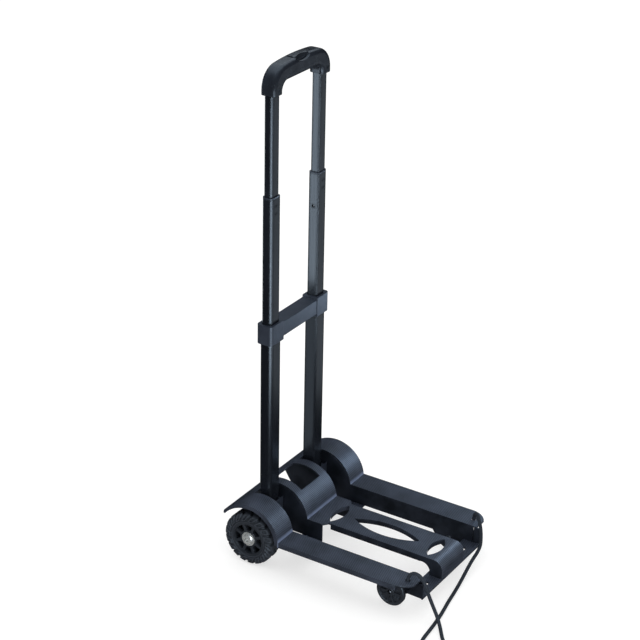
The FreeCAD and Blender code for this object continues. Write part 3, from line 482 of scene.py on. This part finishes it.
STRIPE_PITCH = 3.0 * MM
STRIPE_RISE = 1.4
RIB_DARK = (0.0055, 0.0064, 0.0092)
RIB_LIGHT = (0.052, 0.060, 0.085)
ARCH_FOOT = 77.9 * MM
# Painted highlight: a thin pale blue line in the base colour along the crease at the arches' feet.
CREASE_HIGHLIGHT_BAND = (0.4 * MM, 1.2 * MM)
CREASE_HIGHLIGHT_BLUE = (0.14, 0.165, 0.24)
DECK_HALF_WIDTH = 147.8 * MM
WALL_NORMAL = 0.7
UNDER_NORMAL = -0.3


def striped_plastic():
    """The platform's moulding: fine slanting ribs, plain inner walls, and a painted highlight along the
    crease at the arches' feet.
    """
    surface = Surface("striped_plastic", roughness=0.42, specular=0.35)
    axes = surface.node("SeparateXYZ", Vector=surface.place)
    normal = surface.node("SeparateXYZ", Vector=surface.node("NewGeometry").outputs["Normal"])
    slant = surface.maths("SUBTRACT", axes.outputs[0], axes.outputs[1])
    slant = surface.maths("MULTIPLY_ADD", axes.outputs[2], STRIPE_RISE, slant)
    turns = 2 * math.pi / (STRIPE_PITCH * math.sqrt(2))
    wave = surface.maths("SINE", surface.maths("MULTIPLY", slant, turns))
    rib = surface.between(wave, 0.0, 1.0, -0.6, 0.8)
    inner = surface.maths("GREATER_THAN", surface.maths("ABSOLUTE", normal.outputs[0]), WALL_NORMAL)
    outside = surface.maths("GREATER_THAN", surface.maths("ABSOLUTE", axes.outputs[0]), DECK_HALF_WIDTH)
    below = surface.maths("LESS_THAN", normal.outputs[2], UNDER_NORMAL)
    plain = surface.maths("MAXIMUM", surface.maths("SUBTRACT", inner, outside), below)
    ribbed = surface.maths("MULTIPLY", rib, surface.maths("SUBTRACT", 1.0, plain))
    mottle = surface.between(surface.noise(25.0, 4.0), 0.0, 0.3)
    shade = surface.maths("ADD", surface.maths("MULTIPLY", ribbed, 0.7), mottle)
    colour = surface.blend(shade, RIB_DARK, RIB_LIGHT)
    # Painted highlight: the base colour turns pale blue in a thin band along the crease at the arches' feet.
    off_crease = surface.maths("ABSOLUTE", surface.maths("SUBTRACT", axes.outputs[1], ARCH_FOOT))
    crease_highlight = surface.maths("SUBTRACT", surface.between(off_crease, 1.0, 0.0, *CREASE_HIGHLIGHT_BAND), plain)
    crease_highlight = surface.maths("MAXIMUM", crease_highlight, 0.0)
    surface.feed("Base Color", surface.blend(crease_highlight, colour, CREASE_HIGHLIGHT_BLUE))
    surface.feed("Roughness", surface.between(ribbed, 0.36, 0.50, 0.0, 1.0))
    grain = surface.maths("MULTIPLY_ADD", surface.noise(1600.0, 2.0), 0.2, ribbed)
    surface.feed("Normal", surface.bump(grain, 0.7, 0.22 * MM, EDGE))
    return surface.material


TUBE_CORNER = 5 * MM


def anodised():
    """Black anodised tube: long draw lines along it and faint rub marks."""
    surface = Surface("anodised_tube", roughness=0.2, specular=0.5)
    lines = surface.noise(900.0, 2.0, (1.0, 1.0, 0.01))
    rubs = surface.noise(30.0, 5.0, (1.0, 1.0, 0.25))
    shade = surface.between(rubs, 0.0, 1.0, 0.4, 0.7)
    surface.feed("Base Color", surface.blend(shade, (0.0060, 0.0070, 0.0095), (0.0095, 0.0110, 0.0150)))
    surface.feed("Roughness", surface.between(lines, 0.18, 0.27))
    surface.feed("Normal", surface.bump(lines, 0.12, 0.03 * MM, TUBE_CORNER))
    return surface.material


def metal(name, dark, light, roughness, metallic=1.0):
    """Bare or plated metal, uneven in its shine."""
    surface = Surface(name, roughness=roughness, metallic=metallic)
    shade = surface.between(surface.noise(140.0, 5.0), 0.0, 1.0)
    surface.feed("Base Color", surface.blend(shade, dark, light))
    surface.feed("Roughness", surface.between(surface.noise(300.0, 4.0), roughness * 0.6, roughness * 1.5))
    surface.feed("Normal", surface.bump(surface.noise(900.0, 3.0), 0.2, 0.05 * MM))
    return surface.material


GROOVE_REACH = 6 * MM


def rubber():
    """Tyre rubber with painted shade: paler on the open lugs and darker in the grooves between them."""
    surface = Surface("tyre_rubber", roughness=0.6, specular=0.25)
    # Painted shade: ambient occlusion darkens the base colour in the grooves between the lugs, and the open
    # lugs stay paler.
    openness = surface.node("AmbientOcclusion", {"samples": 8}, Distance=GROOVE_REACH).outputs["AO"]
    painted_lug_light = surface.maths("MULTIPLY", surface.between(openness, 0.0, 1.0, 0.55, 0.95), 0.8)
    shade = surface.maths("MULTIPLY_ADD", surface.noise(40.0, 5.0), 0.3, painted_lug_light)
    surface.feed("Base Color", surface.blend(shade, (0.004, 0.0045, 0.006), (0.036, 0.040, 0.049)))
    surface.feed("Roughness", surface.between(surface.noise(90.0, 4.0), 0.48, 0.70))
    surface.feed("Normal", surface.bump(surface.noise(1400.0, 3.0), 0.5, 0.07 * MM))
    return surface.material


BRAID_WAVES = 2200.0


def braid():
    """Woven cover of the elastic cord: sets of slanting ridges that cross."""
    surface = Surface("cord_braid", roughness=0.75, specular=0.25)
    axes = surface.node("SeparateXYZ", Vector=surface.place)
    ridges = []
    for signs in ((1, 1), (1, -1), (-1, 1)):
        slant = axes.outputs[2]
        for axis, sign in enumerate(signs):
            slant = surface.maths("MULTIPLY_ADD", axes.outputs[axis], float(sign), slant)
        wave = surface.maths("SINE", surface.maths("MULTIPLY", slant, BRAID_WAVES))
        ridges.append(surface.maths("ABSOLUTE", wave))
    first, second, third = ridges
    over = surface.maths("MULTIPLY", first, second)
    under = surface.maths("MULTIPLY", second, third)
    weave = surface.maths("MAXIMUM", over, under)
    raised = surface.maths("MULTIPLY", weave, 0.6)
    shade = surface.maths("MULTIPLY_ADD", surface.noise(120.0, 4.0), 0.4, raised)
    surface.feed("Base Color", surface.blend(shade, (0.006, 0.007, 0.010), (0.024, 0.027, 0.035)))
    surface.feed("Normal", surface.bump(weave, 0.8, 0.4 * MM))
    return surface.material


DEEP_BLUE = (0.0150, 0.0180, 0.0250)


def make_surfaces():
    """Every finish of the cart, by the slot that it dresses."""
    return {
        "deck_plastic": striped_plastic(),
        "block_plastic": moulded("block_plastic", (0.019, 0.0225, 0.033), (0.026, 0.031, 0.044), 0.42),
        "inner_plastic": moulded("inner_plastic", (0.02, 0.02, 0.023), (0.03, 0.03, 0.034), 0.5),
        "grip_plastic": moulded("grip_plastic", (0.012, 0.0140, 0.019), DEEP_BLUE, 0.32,
                                grain=2400.0, depth=0.02 * MM),
        "button_plastic": moulded("button_plastic", (0.012, 0.0135, 0.017), DEEP_BLUE, 0.36),
        "wheel_plastic": moulded("wheel_plastic", (0.016, 0.018, 0.023), (0.024, 0.027, 0.033), 0.45),
        "tyre_rubber": rubber(),
        "tube_metal": anodised(),
        "steel": metal("zinc_steel", (0.42, 0.43, 0.45), (0.62, 0.63, 0.65), 0.35),
        "chrome_steel": metal("polished_steel", (0.42, 0.42, 0.40), (0.62, 0.62, 0.60), 0.24, 0.5),
        "dark_steel": metal("blackened_steel", (0.05, 0.052, 0.058), (0.10, 0.104, 0.112), 0.35),
        "elastic_cord": braid(),
    }


DARK_METAL = ("screws", "rivets", "lock_pin")


def surface_for(part):
    """The finish of a node: its slot's, but blackened for the handle's small metal parts."""
    slot = part["material_slot"]
    if "steel" in slot and any(word in part["node"] for word in DARK_METAL):
        slot = "dark_steel"
    return surfaces[slot]


def dress(obj, surface):
    obj.data.materials.clear()
    obj.data.materials.append(surface)


surfaces = make_surfaces()
for part in frame["record"]["subparts"]:
    dress(frame["nodes"][part["node"]], surface_for(part))
for piece in tyres:
    dress(piece, surfaces["tyre_rubber"])
for piece in (cord, knots):
    dress(piece, surfaces["elastic_cord"])
make_floor(floor_surface())
light_the_room()
